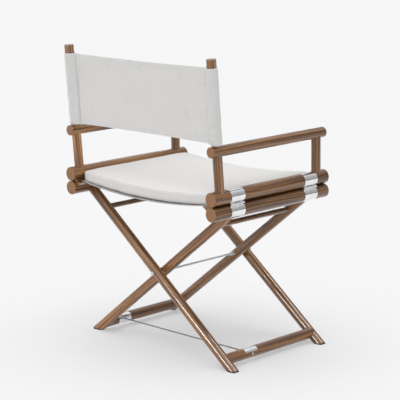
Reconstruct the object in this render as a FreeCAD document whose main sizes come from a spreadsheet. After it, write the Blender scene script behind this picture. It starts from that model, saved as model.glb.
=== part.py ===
import FreeCAD, Part
import os
import sys
from math import atan2, cos, degrees, radians, sin, sqrt, tan

# Folding director's chair: two side frames with a canvas back and a padded
# seat slung between them, on two crossed leg frames joined by a tie rod.
# Millimetres. +Z up, the chair faces -Y, +X is the sitter's left.
# The origin is on the floor under the middle of the chair.

doc = FreeCAD.newDocument("director_chair")
sheet = doc.addObject("Spreadsheet::Sheet", "Dims")

DIMS = {
    # seat rails: an upper one in each side frame, a lower one in each leg frame
    "rail_radius": 20.0,
    "rail_length": 456.0,
    "rail_spread": 285.0,
    "rail_rear": -230.8,
    "upper_rail_height": 486.5,
    "lower_rail_height": 446.0,
    # arm rails
    "arm_radius": 15.0,
    "arm_length": 450.0,
    "arm_start": -226.4,
    "arm_height": 613.5,
    # posts, the rear ones raked backwards
    "post_radius": 13.5,
    "rear_post_low": 190.0,
    "rear_post_high": 216.4,
    "chair_height": 860.0,
    "front_post_depth": -197.2,
    "tenon_radius": 8.0,
    # crossed legs
    "leg_radius": 14.25,
    "leg_tilt": 52.15,
    "pivot_height": 228.7,
    "leg_depth_rear_outer": 156.0,
    "leg_depth_rear_inner": 125.5,
    "leg_depth_front_inner": -172.3,
    "leg_depth_front_outer": -202.8,
    "foot_thickness": 4.0,
    "foot_reach": 309.5,
    "foot_inset": 1.0,
    # bars between the legs of one frame
    "bar_radius": 7.5,
    "bar_spread": 207.5,
    "bar_height": 390.0,
    "stretcher_radius": 15.5,
    "stretcher_spread": 261.5,
    "stretcher_height": 25.5,
    # tie rod through both crossings
    "rod_radius": 3.0,
    "rod_bore": 3.08,
    "washer_radius": 11.0,
    "washer_thickness": 1.4,
    # cross cable between the stretchers, and its saddles
    "cable_radius": 2.0,
    "cable_depth": 59.4,
    "saddle_length": 48.0,
    "saddle_shell": 1.3,
    # chrome hinge bands round the rails
    "band_length": 52.0,
    "band_gap": 1.0,
    "band_outer": 20.05,
    "band_inner": 18.7,
    "band_depth_rear": 137.2,
    "band_depth_front": -156.8,
    "hinge_offset": 13.0,
    "barrel_radius": 3.6,
    "pin_radius": 1.5,
    "pin_bore": 1.56,
    # seat pad, hung between the upper rails
    "seat_halfwidth": 264.4,
    "seat_start": -221.8,
    "seat_length": 426.0,
    "seat_edge_height": 500.0,
    "seat_sag": 20.5,
    "seat_thickness": 35.5,
    # battens that hold the seat's edges
    "batten_length": 440.0,
    # canvas back
    "sleeve_outer": 16.0,
    "sleeve_inner": 14.0,
    "back_low": 631.0,
    "back_high": 837.0,
    "back_thickness": 4.0,
}
for row, (alias, value) in enumerate(DIMS.items(), start=1):
    sheet.set("A%d" % row, alias)
    sheet.set("B%d" % row, str(value))
    sheet.setAlias("B%d" % row, alias)
doc.recompute()


def dim(alias):
    return float(getattr(sheet, alias))


V = FreeCAD.Vector
ALONG_Y = FreeCAD.Rotation(V(1, 0, 0), -90)
ALONG_X = FreeCAD.Rotation(V(0, 1, 0), 90)


def bind(obj, prop, expression):
    if expression is not None:
        obj.setExpression(prop, str(expression))


def d(text):
    # writes sheet aliases as references: "rail_radius + 1" -> "Dims.rail_radius + 1"
    out = []
    for word in str(text).replace("(", " ( ").replace(")", " ) ").split():
        out.append("Dims." + word if word in DIMS else word)
    return " ".join(out)


def cylinder(name, radius, height, x, y, z, rotation=None):
    c = doc.addObject("Part::Cylinder", name)
    if rotation is not None:
        c.Placement = FreeCAD.Placement(V(0, 0, 0), rotation)
    bind(c, "Radius", d(radius))
    bind(c, "Height", d(height))
    bind(c, "Placement.Base.x", d(x))
    bind(c, "Placement.Base.y", d(y))
    bind(c, "Placement.Base.z", d(z))
    return c


def box(name, length, width, height, x, y, z, rotation=None):
    b = doc.addObject("Part::Box", name)
    if rotation is not None:
        b.Placement = FreeCAD.Placement(V(0, 0, 0), rotation)
    bind(b, "Length", d(length))
    bind(b, "Width", d(width))
    bind(b, "Height", d(height))
    bind(b, "Placement.Base.x", d(x))
    bind(b, "Placement.Base.y", d(y))
    bind(b, "Placement.Base.z", d(z))
    return b


def cut(name, base, *tools):
    tool = tools[0] if len(tools) == 1 else fuse(name + "_tools", *tools)
    c = doc.addObject("Part::Cut", name)
    c.Base = base
    c.Tool = tool
    return c


def fuse(name, *parts):
    f = doc.addObject("Part::MultiFuse", name)
    f.Shapes = list(parts)
    return f


def common(name, *parts):
    f = doc.addObject("Part::MultiCommon", name)
    f.Shapes = list(parts)
    return f


def fillet(name, base, radius, choose):
    # rounds the edges of base that choose(edge) picks
    doc.recompute()
    picked = [n for n, e in enumerate(base.Shape.Edges, start=1) if choose(e)]
    if not picked:
        raise RuntimeError("no edge to round on " + name)
    f = doc.addObject("Part::Fillet", name)
    f.Base = base
    f.Edges = [(n, radius, radius) for n in picked]
    return f


def circle_at(axis, value, radius, tolerance=0.05):
    # picks circular edges of one radius in the plane axis = value
    def choose(e):
        if not isinstance(e.Curve, Part.Circle):
            return False
        c = e.Curve.Center
        return (
            abs(getattr(c, axis) - value) < tolerance
            and abs(e.Curve.Radius - radius) < tolerance
        )

    return choose


nodes = []


def node(name, obj):
    obj.Label = name
    nodes.append(obj)
    return obj


# directions of the raked post and of the legs
rake = degrees(
    atan2(
        dim("rear_post_high") - dim("rear_post_low"),
        dim("chair_height") - dim("upper_rail_height"),
    )
)
RAKED = FreeCAD.Rotation(V(1, 0, 0), -rake)
rake_slope = "( rear_post_high - rear_post_low ) / ( chair_height - upper_rail_height )"
tilt = dim("leg_tilt")

SIDES = (("left", 1), ("right", -1))
HINGE_HEIGHT = "( upper_rail_height + lower_rail_height ) / 2"


def raked_cylinder(name, radius, sign, low, high):
    # round bar on the rear post's axis from the height low to the height high
    return cylinder(
        name,
        radius,
        "( ( %s ) - ( %s ) ) / %.9f" % (high, low, cos(radians(rake))),
        "%d * rail_spread" % sign,
        "rear_post_low + ( ( %s ) - upper_rail_height ) * %s" % (low, rake_slope),
        low,
        RAKED,
    )


def rail_solid(name, sign, height):
    return cylinder(
        name,
        "rail_radius",
        "rail_length",
        "%d * rail_spread" % sign,
        "rail_rear",
        height,
        ALONG_Y,
    )


def arm_solid(name, sign):
    return cylinder(
        name,
        "arm_radius",
        "arm_length",
        "%d * rail_spread" % sign,
        "arm_start",
        "arm_height",
        ALONG_Y,
    )


def band_groove(name, sign, height, depth):
    # shallow seat round a rail for one chrome band
    outer = cylinder(
        name + "_o",
        "rail_radius + 1",
        "band_length + 2 * band_gap",
        "%d * rail_spread" % sign,
        "%s - band_length / 2 - band_gap" % depth,
        height,
        ALONG_Y,
    )
    core = cylinder(
        name + "_i",
        "band_inner",
        "band_length + 2 * band_gap + 2",
        "%d * rail_spread" % sign,
        "%s - band_length / 2 - band_gap - 1" % depth,
        height,
        ALONG_Y,
    )
    ring = cut(name + "_ring", outer, core)
    x = (
        "rail_spread - 4.5"
        if sign > 0
        else "-1 * rail_spread - rail_radius - 5.5"
    )
    half = box(
        name + "_half",
        "rail_radius + 10",
        "band_length + 2 * band_gap + 4",
        "2 * rail_radius + 10",
        x,
        "%s - band_length / 2 - band_gap - 2" % depth,
        "%s - rail_radius - 5" % height,
    )
    return common(name, ring, half)


def band(name, sign, height, depth, upper):
    # half shell round the outer side of a rail, with its hinge knuckles
    outer = cylinder(
        name + "_o",
        "band_outer",
        "band_length",
        "%d * rail_spread" % sign,
        "%s - band_length / 2" % depth,
        height,
        ALONG_Y,
    )
    rounded = fillet(
        name + "_round", outer, 0.6, lambda e: isinstance(e.Curve, Part.Circle)
    )
    core = cylinder(
        name + "_i",
        "band_inner",
        "band_length + 2",
        "%d * rail_spread" % sign,
        "%s - band_length / 2 - 1" % depth,
        height,
        ALONG_Y,
    )
    ring = cut(name + "_ring", rounded, core)
    x = "rail_spread - 4" if sign > 0 else "-1 * rail_spread - rail_radius - 6"
    half = box(
        name + "_half",
        "rail_radius + 10",
        "band_length + 4",
        "2 * rail_radius + 10",
        x,
        "%s - band_length / 2 - 2" % depth,
        "%s - rail_radius - 5" % height,
    )
    shell = common(name + "_shell", ring, half)
    # knuckle leaf: a short radial web from the shell to the barrel
    rise = (dim("upper_rail_height") - dim("lower_rail_height")) / 2
    span = sqrt(dim("hinge_offset") ** 2 + rise**2)
    angle = degrees(atan2(rise, dim("hinge_offset")))  # below (or above) level
    turn = angle if upper else -angle
    # a box drawn from the rail's axis towards the hinge's axis
    direction = FreeCAD.Rotation(V(0, 1, 0), turn)
    if sign < 0:
        direction = FreeCAD.Rotation(V(0, 1, 0), 180 - turn)
    knuckles = []
    third = "( band_length - 1.2 ) / 3"
    if upper:
        places = [
            ("%s - band_length / 2" % depth, third),
            ("%s + band_length / 2 - %s" % (depth, third), third),
        ]
    else:
        places = [
            ("%s - ( %s ) / 2" % (depth, third), third),
        ]
    for n, (start, length) in enumerate(places):
        web = doc.addObject("Part::Box", "%s_web%d" % (name, n))
        reach = direction.multVec(V(1, 0, 0))
        across = direction.multVec(V(0, 0, 1))
        half_web = 1.7
        start_at = reach * (dim("band_inner") + 0.3) - across * half_web
        web.Placement = FreeCAD.Placement(V(0, 0, 0), direction)
        web.Length = span - dim("band_inner") - 0.3
        web.Height = 2 * half_web
        bind(web, "Width", d(length))
        bind(
            web,
            "Placement.Base.x",
            d("%d * rail_spread + %.9f" % (sign, start_at.x)),
        )
        bind(web, "Placement.Base.z", d("%s + %.9f" % (height, start_at.z)))
        bind(web, "Placement.Base.y", d(start))
        barrel = cylinder(
            "%s_barrel%d" % (name, n),
            "barrel_radius",
            length,
            "%d * ( rail_spread + hinge_offset )" % sign,
            start,
            HINGE_HEIGHT,
            ALONG_Y,
        )
        knuckles += [web, barrel]
    whole = fuse(name + "_whole", shell, *knuckles)
    bore = cylinder(
        name + "_bore",
        "pin_bore" if upper else "pin_radius",
        "band_length + 10",
        "%d * ( rail_spread + hinge_offset )" % sign,
        "%s - band_length / 2 - 5" % depth,
        HINGE_HEIGHT,
        ALONG_Y,
    )
    return cut(name, whole, bore)


def leg_axis_cylinder(name, radius, lean, depth, start, length):
    # round bar on a leg's axis. start is the distance along the axis from the
    # point where it meets the floor, lean is the side that the top leans to
    rotation = FreeCAD.Rotation(V(0, 1, 0), lean * tilt)
    run = tan(radians(tilt))
    s, c = sin(radians(tilt)), cos(radians(tilt))
    return cylinder(
        name,
        radius,
        length,
        "%d * ( -1 * pivot_height * %.9f + ( %s ) * %.9f )" % (lean, run, start, s),
        depth,
        "( %s ) * %.9f" % (start, c),
        rotation,
    )


rail_along_leg = dim("lower_rail_height") / cos(radians(tilt))


def leg(name, lean, depth, foot_name):
    # lean = +1: the top is at +X and the foot at -X
    whole = leg_axis_cylinder(
        name + "_bar", "leg_radius", lean, depth, "-40", "%.6f" % (rail_along_leg + 40)
    )
    # the thin tip of the slanted foot is cut off upright
    above = box(
        name + "_above",
        "900",
        "60",
        "600",
        "-1 * foot_reach" if lean > 0 else "foot_reach - 900",
        "%s - 30" % depth,
        "foot_thickness",
    )
    standing = common(name + "_standing", whole, above)
    coped = cut(
        name + "_coped",
        standing,
        rail_solid(name + "_cope", lean, "lower_rail_height"),
    )
    tenon = leg_axis_cylinder(
        name + "_tenon",
        "tenon_radius",
        lean,
        depth,
        "%.6f" % (rail_along_leg - 32),
        "40",
    )
    solid = fuse(name + "_solid", coped, tenon)
    bore = cylinder(
        name + "_bore",
        "rod_bore",
        "60",
        "0",
        "%s - 30" % depth,
        "pivot_height",
        ALONG_Y,
    )
    mortises = [bore]
    for far in (0, 1):
        # tenons of the two bars of this frame that end in this leg
        if far:
            mortises.append(
                cylinder(
                    name + "_bar_hole",
                    "4.5",
                    "60",
                    "%d * bar_spread" % lean,
                    "%s - 30" % depth,
                    "bar_height",
                    ALONG_Y,
                )
            )
        else:
            mortises.append(
                cylinder(
                    name + "_stretcher_hole",
                    "tenon_radius",
                    "60",
                    "%d * stretcher_spread" % -lean,
                    "%s - 30" % depth,
                    "stretcher_height",
                    ALONG_Y,
                )
            )
    # blind holes: only the half of each hole on the frame's inner side
    outward = 1 if depth.startswith("leg_depth_rear") else -1
    inner = box(
        name + "_inner",
        "900",
        "40",
        "700",
        "-450",
        "%s - 32" % depth if outward > 0 else "%s - 8" % depth,
        "-50",
    )
    blind = common(name + "_blind", fuse(name + "_holes", *mortises[1:]), inner)
    node(name, cut(name, solid, bore, blind))
    slab = box(
        foot_name + "_slab",
        "900",
        "60",
        "foot_thickness",
        "foot_inset - foot_reach" if lean > 0 else "foot_reach - foot_inset - 900",
        "%s - 30" % depth,
        "0",
    )
    again = leg_axis_cylinder(
        foot_name + "_bar", "leg_radius - foot_inset", lean, depth, "-40", "120"
    )
    node(foot_name, common(foot_name, again, slab))


# --- the two leg frames -----------------------------------------------------
# frame A holds the left lower rail and stands on the right, frame B mirrors it
leg("leg_rear_outer", 1, "leg_depth_rear_outer", "foot_rear_right")
leg("leg_front_outer", 1, "leg_depth_front_outer", "foot_front_right")
leg("leg_rear_inner", -1, "leg_depth_rear_inner", "foot_rear_left")
leg("leg_front_inner", -1, "leg_depth_front_inner", "foot_front_left")

LEG_DEPTHS = {
    1: ("leg_depth_rear_outer", "leg_depth_front_outer"),
    -1: ("leg_depth_rear_inner", "leg_depth_front_inner"),
}

for side, sign in SIDES:
    rear, front = LEG_DEPTHS[sign]
    # lower rail: two grooves for the bands and two mortises for the legs
    rail = rail_solid("lower_rail_%s_bar" % side, sign, "lower_rail_height")
    rail = fillet(
        "lower_rail_%s_ends" % side,
        rail,
        1.6,
        lambda e: isinstance(e.Curve, Part.Circle),
    )
    tools = [
        band_groove("lower_groove_%s_r" % side, sign, "lower_rail_height", "band_depth_rear"),
        band_groove("lower_groove_%s_f" % side, sign, "lower_rail_height", "band_depth_front"),
    ]
    for tag, depth in (("r", rear), ("f", front)):
        tools.append(
            leg_axis_cylinder(
                "lower_mortise_%s_%s" % (side, tag),
                "tenon_radius",
                sign,
                depth,
                "%.6f" % (rail_along_leg - 32),
                "40",
            )
        )
    node("lower_rail_%s" % side, cut("lower_rail_%s" % side, rail, *tools))

    # thin cross bar high between the frame's two legs
    bar = cylinder(
        "cross_bar_%s_bar" % side,
        "bar_radius",
        "%s - %s" % (rear, front),
        "%d * bar_spread" % sign,
        front,
        "bar_height",
        ALONG_Y,
    )
    coped = cut(
        "cross_bar_%s_coped" % side,
        bar,
        leg_axis_cylinder(
            "cross_bar_%s_c1" % side, "leg_radius", sign, rear, "560", "150"
        ),
        leg_axis_cylinder(
            "cross_bar_%s_c2" % side, "leg_radius", sign, front, "560", "150"
        ),
    )
    spigot = cylinder(
        "cross_bar_%s_spigot" % side,
        "4.5",
        "%s - %s - 16" % (rear, front),
        "%d * bar_spread" % sign,
        "%s + 8" % front,
        "bar_height",
        ALONG_Y,
    )
    node("cross_bar_%s" % side, fuse("cross_bar_%s" % side, coped, spigot))

# stretchers: each joins the feet of one frame, on the side opposite its rail
for side, sign in SIDES:
    rear, front = LEG_DEPTHS[-sign]
    lean = -sign
    bar = cylinder(
        "stretcher_%s_bar" % side,
        "stretcher_radius",
        "%s - %s" % (rear, front),
        "%d * stretcher_spread" % sign,
        front,
        "stretcher_height",
        ALONG_Y,
    )
    coped = cut(
        "stretcher_%s_coped" % side,
        bar,
        leg_axis_cylinder(
            "stretcher_%s_c1" % side, "leg_radius", lean, rear, "-60", "260"
        ),
        leg_axis_cylinder(
            "stretcher_%s_c2" % side, "leg_radius", lean, front, "-60", "260"
        ),
    )
    spigot = cylinder(
        "stretcher_%s_spigot" % side,
        "tenon_radius",
        "%s - %s - 16" % (rear, front),
        "%d * stretcher_spread" % sign,
        "%s + 8" % front,
        "stretcher_height",
        ALONG_Y,
    )
    whole = fuse("stretcher_%s_whole" % side, coped, spigot)
    # shallow seat for the chrome saddle, over the top and the inner side
    ring_o = cylinder(
        "stretcher_%s_ro" % side,
        "stretcher_radius + 1",
        "saddle_length + 1.6",
        "%d * stretcher_spread" % sign,
        "cable_depth - saddle_length / 2 - 0.8",
        "stretcher_height",
        ALONG_Y,
    )
    ring_i = cylinder(
        "stretcher_%s_ri" % side,
        "stretcher_radius - saddle_shell - 0.7",
        "saddle_length + 4",
        "%d * stretcher_spread" % sign,
        "cable_depth - saddle_length / 2 - 2",
        "stretcher_height",
        ALONG_Y,
    )
    ring = cut("stretcher_%s_rr" % side, ring_o, ring_i)
    # the seat leaves out the lower outer quarter
    quarter = box(
        "stretcher_%s_quarter" % side,
        "30",
        "saddle_length + 10",
        "30",
        "stretcher_spread + 1.5" if sign > 0 else "-1 * stretcher_spread - 31.5",
        "cable_depth - saddle_length / 2 - 5",
        "stretcher_height - 25.2",
    )
    groove = cut("stretcher_%s_groove" % side, ring, quarter)
    hole = cylinder(
        "stretcher_%s_hole" % side,
        "cable_radius + 0.6",
        "60",
        "%d * stretcher_spread - 30" % sign,
        "cable_depth",
        "stretcher_height",
        ALONG_X,
    )
    node("stretcher_%s" % side, cut("stretcher_%s" % side, whole, groove, hole))

    # chrome saddle: three quarters of a tube, open at the lower outer quarter
    tube_o = cylinder(
        "saddle_%s_o" % side,
        "stretcher_radius - 0.7",
        "saddle_length",
        "%d * stretcher_spread" % sign,
        "cable_depth - saddle_length / 2",
        "stretcher_height",
        ALONG_Y,
    )
    tube_round = fillet(
        "saddle_%s_round" % side, tube_o, 0.6, lambda e: isinstance(e.Curve, Part.Circle)
    )
    tube_i = cylinder(
        "saddle_%s_i" % side,
        "stretcher_radius - 0.7 - saddle_shell",
        "saddle_length + 2",
        "%d * stretcher_spread" % sign,
        "cable_depth - saddle_length / 2 - 1",
        "stretcher_height",
        ALONG_Y,
    )
    tube = cut("saddle_%s_tube" % side, tube_round, tube_i)
    open_quarter = box(
        "saddle_%s_open" % side,
        "30",
        "saddle_length + 10",
        "30",
        "stretcher_spread + 1" if sign > 0 else "-1 * stretcher_spread - 31",
        "cable_depth - saddle_length / 2 - 5",
        "stretcher_height - 24.7",
    )
    eye = cylinder(
        "saddle_%s_eye" % side,
        "cable_radius + 0.6",
        "30",
        "%d * stretcher_spread %s" % (sign, "- 30" if sign > 0 else "+ 0"),
        "cable_depth",
        "stretcher_height",
        ALONG_X,
    )
    node("saddle_%s" % side, cut("saddle_%s" % side, tube, open_quarter, eye))

    # cable stop: a steel button on the outer face, on a ferrule in the bore
    button = cylinder(
        "cable_stop_%s_head" % side,
        "3.1",
        "2.4",
        "%d * ( stretcher_spread + stretcher_radius %s )"
        % (sign, "- 0.9" if sign > 0 else "+ 1.5"),
        "cable_depth",
        "stretcher_height",
        ALONG_X,
    )
    button_round = fillet(
        "cable_stop_%s_round" % side,
        button,
        0.8,
        lambda e, far=sign
        * (dim("stretcher_spread") + dim("stretcher_radius") + 1.5): isinstance(
            e.Curve, Part.Circle
        )
        and abs(e.Curve.Center.x - far) < 0.01,
    )
    # the button's underside is hollowed to sit on the round stretcher
    seated = cut(
        "cable_stop_%s_seated" % side,
        button_round,
        cylinder(
            "cable_stop_%s_wood" % side,
            "stretcher_radius",
            "60",
            "%d * stretcher_spread" % sign,
            "cable_depth - 30",
            "stretcher_height",
            ALONG_Y,
        ),
    )
    shank = cylinder(
        "cable_stop_%s_shank" % side,
        "cable_radius + 0.58",
        "15.5",
        "%d * ( stretcher_spread + stretcher_radius ) %s"
        % (sign, "- 14.5" if sign > 0 else "- 1"),
        "cable_depth",
        "stretcher_height",
        ALONG_X,
    )
    node(
        "cable_stop_%s" % side, fuse("cable_stop_%s" % side, seated, shank)
    )

# cross cable, straight and tight between the stretchers' bores
node(
    "cross_cable",
    cylinder(
        "cross_cable",
        "cable_radius",
        "2 * ( stretcher_spread + stretcher_radius - 16 )",
        "-1 * ( stretcher_spread + stretcher_radius - 16 )",
        "cable_depth",
        "stretcher_height",
        ALONG_X,
    ),
)

# --- tie rod through the crossings ------------------------------------------
rod_front = "leg_depth_front_outer - leg_radius - 7"
rod = cylinder(
    "pivot_rod_bar",
    "rod_radius",
    "leg_depth_rear_outer - leg_depth_front_outer + 2 * leg_radius + 14",
    "0",
    rod_front,
    "pivot_height",
    ALONG_Y,
)
# collars that space the inner legs
collars = []
for tag, start, long in (
    ("r", "leg_depth_rear_inner - leg_radius - 6.4", "6"),
    ("f", "leg_depth_front_inner + leg_radius + 0.4", "14"),
):
    collar = cylinder(
        "pivot_collar_%s" % tag, "4.8", long, "0", start, "pivot_height", ALONG_Y
    )
    collars.append(collar)
node("pivot_rod", fuse("pivot_rod", rod, *collars))

washers = []
for tag, start in (
    ("r", "( leg_depth_rear_outer + leg_depth_rear_inner ) / 2 - washer_thickness / 2"),
    ("f", "( leg_depth_front_outer + leg_depth_front_inner ) / 2 - washer_thickness / 2"),
):
    plate = cylinder(
        "washer_%s_o" % tag,
        "washer_radius",
        "washer_thickness",
        "0",
        start,
        "pivot_height",
        ALONG_Y,
    )
    hole = cylinder(
        "washer_%s_i" % tag, "rod_radius", "10", "0", start + " - 4", "pivot_height", ALONG_Y
    )
    washers.append(cut("washer_%s" % tag, plate, hole))
node("pivot_washers", doc.addObject("Part::Compound", "pivot_washers")).Links = washers

# domed nuts on the rod's ends, turned from a revolved half section
nuts = []
for tag, start, outward in (
    ("r", dim("leg_depth_rear_outer") + dim("leg_radius") + 0.4, 1),
    ("f", dim("leg_depth_front_outer") - dim("leg_radius") - 0.4, -1),
):
    body = doc.addObject("PartDesign::Body", "nut_%s" % tag)
    sketch = body.newObject("Sketcher::SketchObject", "nut_%s_section" % tag)
    yz = [f for f in body.Origin.OriginFeatures if f.Role == "YZ_Plane"][0]
    sketch.AttachmentSupport = [(yz, "")]
    sketch.MapMode = "FlatFace"
    # on the YZ plane the sketch's x is Y and its y is Z
    r0, r1 = dim("rod_radius"), 6.0
    z0 = dim("pivot_height")
    a = start
    b = start + outward * 3.0
    c = start + outward * 9.5
    end_r = 0.0
    depth_bore = start + outward * 7.0
    pts = [
        (a, z0 + r0),
        (a, z0 + r1),
        (b, z0 + r1),
        (start + outward * 6.2, z0 + 5.2),
        (start + outward * 8.4, z0 + 3.2),
        (c, z0 + 0.0),
        (depth_bore, z0 + 0.0),
        (depth_bore, z0 + r0),
    ]
    for p, q in zip(pts, pts[1:] + pts[:1]):
        sketch.addGeometry(Part.LineSegment(V(p[0], p[1], 0), V(q[0], q[1], 0)), False)
    sketch.addGeometry(
        Part.LineSegment(V(a - 5, z0, 0), V(a + 5, z0, 0)), True
    )
    doc.recompute()
    rev = body.newObject("PartDesign::Revolution", "nut_%s_turned" % tag)
    rev.Profile = sketch
    rev.ReferenceAxis = (sketch, ["Axis0"])
    rev.Angle = 360.0
    doc.recompute()
    nuts.append(body)
node("pivot_nuts", doc.addObject("Part::Compound", "pivot_nuts")).Links = nuts

# --- the side frames ----------------------------------------------------------
for side, sign in SIDES:
    rail = rail_solid("upper_rail_%s_bar" % side, sign, "upper_rail_height")
    rail = fillet(
        "upper_rail_%s_ends" % side,
        rail,
        1.6,
        lambda e: isinstance(e.Curve, Part.Circle),
    )
    rear_hole = raked_cylinder(
        "upper_rail_%s_rear_hole" % side,
        "tenon_radius",
        sign,
        "upper_rail_height - 6",
        "upper_rail_height + 40",
    )
    front_hole = cylinder(
        "upper_rail_%s_front_hole" % side,
        "tenon_radius",
        "46",
        "%d * rail_spread" % sign,
        "front_post_depth",
        "upper_rail_height - 6",
    )
    grooves = [
        band_groove("upper_groove_%s_r" % side, sign, "upper_rail_height", "band_depth_rear"),
        band_groove("upper_groove_%s_f" % side, sign, "upper_rail_height", "band_depth_front"),
    ]
    node(
        "upper_rail_%s" % side,
        cut("upper_rail_%s" % side, rail, rear_hole, front_hole, *grooves),
    )

    # lower length of the rear post, coped between the rail and the arm
    bar = raked_cylinder(
        "rear_post_%s_bar" % side, "post_radius", sign, "upper_rail_height", "arm_height"
    )
    coped = cut(
        "rear_post_%s_coped" % side,
        bar,
        rail_solid("rear_post_%s_c1" % side, sign, "upper_rail_height"),
        arm_solid("rear_post_%s_c2" % side, sign),
    )
    tenon = raked_cylinder(
        "rear_post_%s_tenon" % side,
        "tenon_radius",
        sign,
        "upper_rail_height - 6",
        "upper_rail_height + 30",
    )
    socket = raked_cylinder(
        "rear_post_%s_socket" % side,
        "tenon_radius",
        sign,
        "arm_height - 45",
        "arm_height + 30",
    )
    node(
        "rear_post_%s" % side,
        cut(
            "rear_post_%s" % side,
            fuse("rear_post_%s_solid" % side, coped, tenon),
            socket,
        ),
    )

    # upper length of the rear post, which carries the canvas back. Its tenon
    # runs through the arm into the lower length
    bar = raked_cylinder(
        "back_post_%s_bar" % side, "post_radius", sign, "arm_height", "chair_height"
    )
    bar = fillet(
        "back_post_%s_top" % side,
        bar,
        1.4,
        lambda e: isinstance(e.Curve, Part.Circle) and e.Curve.Center.z > 800,
    )
    coped = cut(
        "back_post_%s_coped" % side, bar, arm_solid("back_post_%s_c" % side, sign)
    )
    tenon = raked_cylinder(
        "back_post_%s_tenon" % side,
        "tenon_radius",
        sign,
        "arm_height - 45",
        "arm_height + 30",
    )
    node("back_post_%s" % side, fuse("back_post_%s" % side, coped, tenon))

    # front post with a tenon at each end
    bar = cylinder(
        "front_post_%s_bar" % side,
        "post_radius",
        "arm_height - upper_rail_height",
        "%d * rail_spread" % sign,
        "front_post_depth",
        "upper_rail_height",
    )
    coped = cut(
        "front_post_%s_coped" % side,
        bar,
        rail_solid("front_post_%s_c1" % side, sign, "upper_rail_height"),
        arm_solid("front_post_%s_c2" % side, sign),
    )
    tenon = cylinder(
        "front_post_%s_tenon" % side,
        "tenon_radius",
        "arm_height - upper_rail_height + 10",
        "%d * rail_spread" % sign,
        "front_post_depth",
        "upper_rail_height - 6",
    )
    node("front_post_%s" % side, fuse("front_post_%s" % side, coped, tenon))

    # arm
    arm = fillet(
        "arm_%s_ends" % side,
        arm_solid("arm_%s_bar" % side, sign),
        1.4,
        lambda e: isinstance(e.Curve, Part.Circle),
    )
    rear_hole = raked_cylinder(
        "arm_%s_rear_hole" % side,
        "tenon_radius",
        sign,
        "arm_height - 30",
        "arm_height + 30",
    )
    front_hole = cylinder(
        "arm_%s_front_hole" % side,
        "tenon_radius",
        "34",
        "%d * rail_spread" % sign,
        "front_post_depth",
        "arm_height - 30",
    )
    node("arm_%s" % side, cut("arm_%s" % side, arm, rear_hole, front_hole))

    # batten under the inner side of the upper rail: it holds the seat's edge
    if sign > 0:
        shelf = box(
            "seat_batten_shelf",
            "28",
            "batten_length",
            "11.4",
            "rail_spread - 39",
            "-0.5 * batten_length + rail_rear + rail_length / 2",
            "lower_rail_height + 6.5",
        )
        tongue = box(
            "seat_batten_tongue",
            "11.5",
            "batten_length",
            "12",
            "rail_spread - 19.5",
            "-0.5 * batten_length + rail_rear + rail_length / 2",
            "lower_rail_height + 13",
        )
        bevel = box(
            "seat_batten_bevel",
            "40",
            "batten_length + 10",
            "20",
            "rail_spread - 39 - 25",
            "-0.5 * batten_length + rail_rear + rail_length / 2 - 5",
            "lower_rail_height + 12.5",
            FreeCAD.Rotation(V(0, 1, 0), 38),
        )
        clear_of_legs = [
            leg_axis_cylinder(
                "seat_batten_leg_%d" % n, "leg_radius + 0.9", 1, depth, "600", "200"
            )
            for n, depth in enumerate(LEG_DEPTHS[1] + LEG_DEPTHS[-1])
        ]
        batten = cut(
            "seat_batten_left",
            fuse("seat_batten_block", shelf, tongue),
            cylinder(
                "seat_batten_u",
                "rail_radius",
                "rail_length + 10",
                "rail_spread",
                "rail_rear - 5",
                "upper_rail_height",
                ALONG_Y,
            ),
            cylinder(
                "seat_batten_l",
                "rail_radius + 0.8",
                "rail_length + 10",
                "rail_spread",
                "rail_rear - 5",
                "lower_rail_height",
                ALONG_Y,
            ),
            bevel,
            *clear_of_legs,
        )
    else:
        batten = doc.addObject("Part::Mirroring", "seat_batten_right")
        batten.Source = doc.getObject("seat_batten_left")
        batten.Base = V(0, 0, 0)
        batten.Normal = V(1, 0, 0)
    node("seat_batten_%s" % side, batten)

    # chrome hinge bands, one pair at the rear and one at the front, and pins
    for tag, depth in (("rear", "band_depth_rear"), ("front", "band_depth_front")):
        node(
            "hinge_upper_%s_%s" % (tag, side),
            band(
                "hinge_upper_%s_%s" % (tag, side), sign, "upper_rail_height", depth, True
            ),
        )
        node(
            "hinge_lower_%s_%s" % (tag, side),
            band(
                "hinge_lower_%s_%s" % (tag, side), sign, "lower_rail_height", depth, False
            ),
        )
    pins = []
    for tag, depth in (("rear", "band_depth_rear"), ("front", "band_depth_front")):
        pins.append(
            cylinder(
                "hinge_pin_%s_%s" % (tag, side),
                "pin_radius",
                "band_length + 2.4",
                "%d * ( rail_spread + hinge_offset )" % sign,
                "%s - band_length / 2 - 1.2" % depth,
                HINGE_HEIGHT,
                ALONG_Y,
            )
        )
    node(
        "hinge_pins_%s" % side, doc.addObject("Part::Compound", "hinge_pins_%s" % side)
    ).Links = pins

# --- seat pad and canvas back -------------------------------------------------
sag_radius = (dim("seat_halfwidth") ** 2 + dim("seat_sag") ** 2) / (
    2 * dim("seat_sag")
)
sag_expression = "( seat_halfwidth * seat_halfwidth + seat_sag * seat_sag ) / ( 2 * seat_sag )"
outer = cylinder(
    "seat_pad_outer",
    "%s + seat_thickness" % sag_expression,
    "seat_length",
    "0",
    "seat_start",
    "seat_edge_height - seat_sag + %s" % sag_expression,
    ALONG_Y,
)
inner = cylinder(
    "seat_pad_inner",
    sag_expression,
    "seat_length + 10",
    "0",
    "seat_start - 5",
    "seat_edge_height - seat_sag + %s" % sag_expression,
    ALONG_Y,
)
window = box(
    "seat_pad_window",
    "2 * seat_halfwidth",
    "seat_length + 20",
    "200",
    "-1 * seat_halfwidth",
    "seat_start - 10",
    "seat_edge_height - 140",
)
pad = common("seat_pad_body", cut("seat_pad_shell", outer, inner), window)
doc.recompute()
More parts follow.
